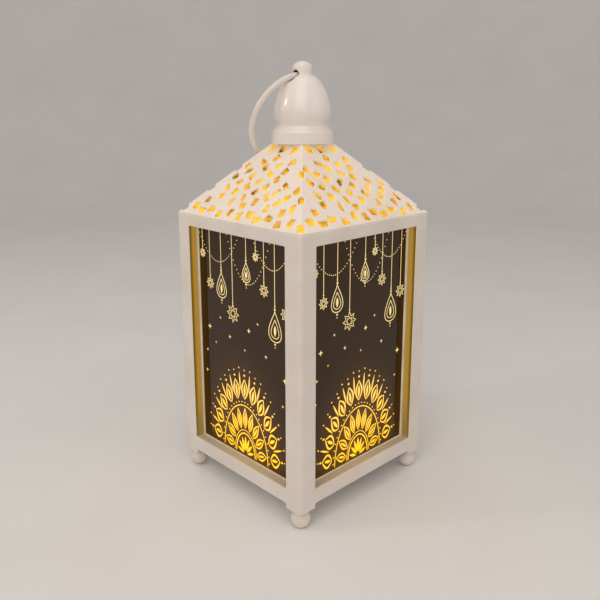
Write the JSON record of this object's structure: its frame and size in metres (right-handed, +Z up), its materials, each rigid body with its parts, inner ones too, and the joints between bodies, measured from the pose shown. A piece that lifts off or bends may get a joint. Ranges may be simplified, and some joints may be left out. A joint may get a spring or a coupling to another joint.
{
  "type": "ramadan fanous lantern",
  "caption": "Square table lantern with edge-lit engraved panes of smoked acrylic, a pierced hip roof lit from inside, a bell finial with a carrying ring, and ball feet.",
  "frame": {"origin": "on the floor, under the middle of the lantern", "axes": "+Z up, -Y the front face, +X the right face; the ring rests on the left (-X) roof face and the battery door slides out at the back (+Y)"},
  "size_m": [0.11, 0.11, 0.26],
  "materials": {
    "white_abs": "satin moulded, cream white",
    "white_wire": "white enamel on steel wire",
    "smoked_acrylic": "polished, smoked, engraved and edge-lit",
    "amber_film": "translucent amber sheet, lit from inside",
    "dark_abs": "fine moulded texture",
    "circuit_board": "white solder resist",
    "warm_led": "warm white lens",
    "nickel_plate": "nickel plate",
    "zinc_plate": "zinc plate",
    "cell_sleeve": "printed-free shrink sleeve",
    "lead_pvc": "soft PVC"
  },
  "bodies": {
    "lantern": {"base_tray": "dark_abs", "battery_box": "dark_abs", "battery_cell_1": "cell_sleeve", "battery_cell_2": "cell_sleeve", "battery_cell_3": "cell_sleeve", "bottom_cover": "white_abs", "ceiling_plate": "dark_abs", "contact_leaves": "nickel_plate", "contact_plates": "nickel_plate", "cover_screws": "zinc_plate", "finial": "white_abs", "finial_screw": "zinc_plate", "foot_back_left": "white_abs", "foot_back_right": "white_abs", "foot_front_left": "white_abs", "foot_front_right": "white_abs", "led_board_back": "circuit_board", "led_board_front": "circuit_board", "led_board_left": "circuit_board", "led_board_right": "circuit_board", "lower_rail_back": "white_abs", "lower_rail_front": "white_abs", "lower_rail_left": "white_abs", "lower_rail_right": "white_abs", "pane_back": "smoked_acrylic", "pane_front": "smoked_acrylic", "pane_leds": "warm_led", "pane_left": "smoked_acrylic", "pane_right": "smoked_acrylic", "post_back_left": "white_abs", "post_back_right": "white_abs", "post_front_left": "white_abs", "post_front_right": "white_abs", "roof_cap": "white_abs", "roof_lead": "lead_pvc", "roof_led_board": "circuit_board", "roof_leds": "warm_led", "roof_liner": "amber_film", "roof_panel_back": "white_abs", "roof_panel_front": "white_abs", "roof_panel_left": "white_abs", "roof_panel_right": "white_abs", "switch_housing": "dark_abs", "upper_rail_back": "white_abs", "upper_rail_front": "white_abs", "upper_rail_left": "white_abs", "upper_rail_right": "white_abs"},
    "carry_ring": {"carry_ring": "white_wire"},
    "battery_door": {"battery_door": "white_abs"},
    "switch_slider": {"switch_slider": "dark_abs"}
  },
  "joints": [
    {"name": "ring_swing", "type": "hinge", "parent": "lantern", "child": "carry_ring", "pos_m": [0, 0, 0.2521], "axis": [0, 1, 0], "range_deg": [0, 305.7]},
    {"name": "door_slide", "type": "slide", "parent": "lantern", "child": "battery_door", "axis": [0, 1, 0], "range_m": [0, 0.038]},
    {"name": "switch_slide", "type": "slide", "parent": "lantern", "child": "switch_slider", "axis": [1, 0, 0], "range_m": [0, 0.003]}
  ]
}
